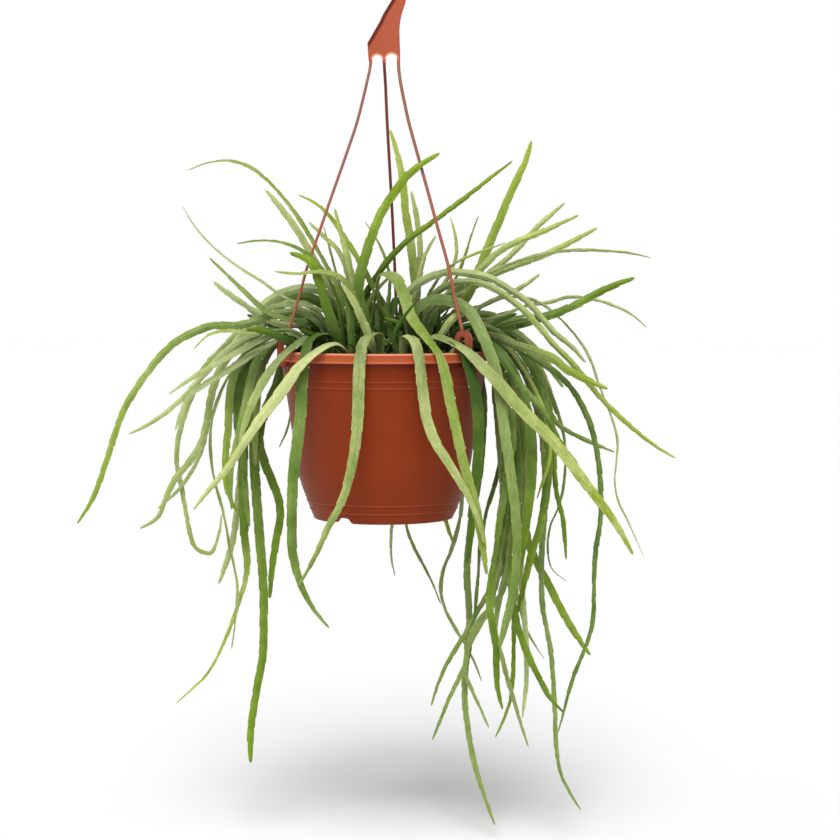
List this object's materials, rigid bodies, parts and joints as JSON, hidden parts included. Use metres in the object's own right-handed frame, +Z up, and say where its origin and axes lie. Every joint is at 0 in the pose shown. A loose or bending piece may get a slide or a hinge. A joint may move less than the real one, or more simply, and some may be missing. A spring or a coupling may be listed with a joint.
{
  "type": "potted trailing ribbon cactus in a hanging pot",
  "caption": "Trailing cactus with flat, notched ribbon stems spilling from a terracotta-coloured plastic hanging pot with a clip-on three-armed hanger and hook.",
  "frame": {"origin": "the lowest point of the hook's inside, where it bears on what it hangs from, on the pot's axis", "axes": "+Z up, along the pot's axis; +X to the right and +Y to the back as the picture sees it"},
  "size_m": [0.4737, 0.2188, 0.7272],
  "materials": {
    "pot_plastic": "terracotta-coloured moulded plastic, satin on the rim",
    "hanger_plastic": "terracotta-brown moulded plastic, satin",
    "soil": "dark crumbly peat and bark potting mix",
    "stems_deep": "fleshy green cactus skin with a waxy bloom",
    "stems_mid": "fleshy green cactus skin with a waxy bloom",
    "stems_bright": "fleshy green cactus skin with a waxy bloom",
    "stems_pale": "fleshy green cactus skin with a waxy bloom"
  },
  "bodies": {
    "root": {"pot": "pot_plastic", "hanger": "hanger_plastic", "soil": "soil", "stems_01": "stems_pale", "stems_02": "stems_pale", "stems_03": "stems_pale", "stems_04": "stems_pale", "stems_05": "stems_bright", "stems_06": "stems_bright", "stems_07": "stems_bright", "stems_08": "stems_bright", "stems_09": "stems_bright", "stems_10": "stems_bright", "stems_11": "stems_bright", "stems_12": "stems_bright", "stems_13": "stems_bright", "stems_14": "stems_mid", "stems_15": "stems_mid", "stems_16": "stems_mid", "stems_17": "stems_mid", "stems_18": "stems_mid", "stems_19": "stems_mid", "stems_20": "stems_mid", "stems_21": "stems_mid", "stems_22": "stems_mid", "stems_23": "stems_mid", "stems_24": "stems_deep", "stems_25": "stems_deep", "stems_26": "stems_deep", "stems_27": "stems_deep", "stems_28": "stems_deep", "stems_29": "stems_deep", "stems_30": "stems_deep", "stems_31": "stems_deep", "stems_32": "stems_deep", "stems_33": "stems_deep", "stems_34": "stems_deep", "stems_35": "stems_deep", "stems_36": "stems_deep", "stems_37": "stems_deep", "stems_38": "stems_deep", "stems_39": "stems_deep", "stems_40": "stems_deep", "stems_41": "stems_deep", "stems_42": "stems_deep"}
  },
  "joints": []
}
